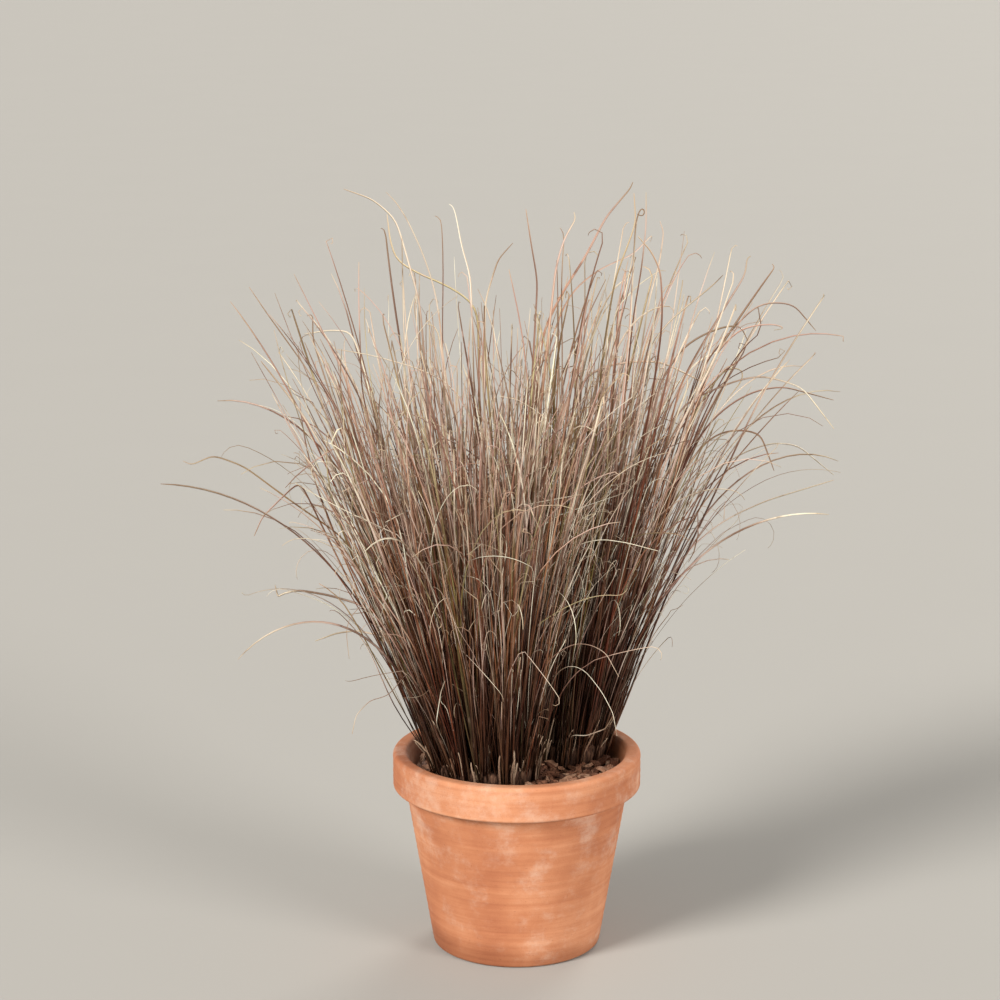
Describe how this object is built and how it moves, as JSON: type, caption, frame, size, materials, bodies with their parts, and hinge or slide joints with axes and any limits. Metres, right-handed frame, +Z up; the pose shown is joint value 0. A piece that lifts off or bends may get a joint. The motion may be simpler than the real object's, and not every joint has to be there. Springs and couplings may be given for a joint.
{
  "type": "potted sedge",
  "caption": "Tufted bronze sedge with fine upright and arching leaves, growing in a bark-topped, plain tapered clay pot that stands on a floor or patio.",
  "frame": {"origin": "centre of the pot's flat foot, on the surface that the pot stands on", "axes": "+Z up through the pot's axis, +X to the right as seen from the front, +Y to the back"},
  "size_m": [0.7775, 0.676, 0.89],
  "materials": {
    "terracotta": "matte",
    "soil": "matte",
    "bark": "matte",
    "leaf_bases": "matte",
    "leaves": "satin",
    "dry_leaves": "matte"
  },
  "bodies": {
    "root": {"back_arching_leaf_left": "dry_leaves", "back_arching_leaf_right": "dry_leaves", "back_crown": "leaf_bases", "back_leaf_bundle_01": "leaves", "back_leaf_bundle_02": "leaves", "back_leaf_bundle_03": "leaves", "back_leaf_bundle_04": "leaves", "back_leaf_bundle_05": "leaves", "back_leaf_bundle_06": "leaves", "back_leaf_bundle_07": "leaves", "back_leaf_bundle_08": "leaves", "back_leaf_bundle_09": "leaves", "back_leaf_bundle_10": "leaves", "back_leaf_bundle_11": "leaves", "back_leaf_bundle_12": "leaves", "back_leaf_bundle_13": "leaves", "bark_mulch": "bark", "front_arching_leaf_left": "dry_leaves", "front_arching_leaf_right": "dry_leaves", "front_crown": "leaf_bases", "front_leaf_bundle_01": "leaves", "front_leaf_bundle_02": "leaves", "front_leaf_bundle_03": "leaves", "front_leaf_bundle_04": "leaves", "front_leaf_bundle_05": "leaves", "front_leaf_bundle_06": "leaves", "front_leaf_bundle_07": "leaves", "front_leaf_bundle_08": "leaves", "front_leaf_bundle_09": "leaves", "front_leaf_bundle_10": "leaves", "front_leaf_bundle_11": "leaves", "front_leaf_bundle_12": "leaves", "front_leaf_bundle_13": "leaves", "front_leaf_bundle_14": "leaves", "front_leaf_bundle_15": "leaves", "front_leaf_bundle_16": "leaves", "front_leaf_bundle_17": "leaves", "front_leaf_bundle_18": "leaves", "front_leaf_bundle_19": "leaves", "front_leaf_bundle_20": "leaves", "front_leaf_bundle_21": "leaves", "front_leaf_bundle_22": "leaves", "front_leaf_bundle_23": "leaves", "front_leaf_bundle_24": "leaves", "front_leaf_bundle_25": "leaves", "front_leaf_bundle_26": "leaves", "front_leaf_bundle_27": "leaves", "front_leaf_bundle_28": "leaves", "left_arching_leaf_behind": "dry_leaves", "left_arching_leaf_high": "dry_leaves", "left_arching_leaf_low": "dry_leaves", "left_arching_leaf_middle": "dry_leaves", "pot": "terracotta", "right_arching_leaf_behind": "dry_leaves", "right_arching_leaf_high": "dry_leaves", "right_arching_leaf_low": "dry_leaves", "right_arching_leaf_middle": "dry_leaves", "soil": "soil"}
  },
  "joints": []
}
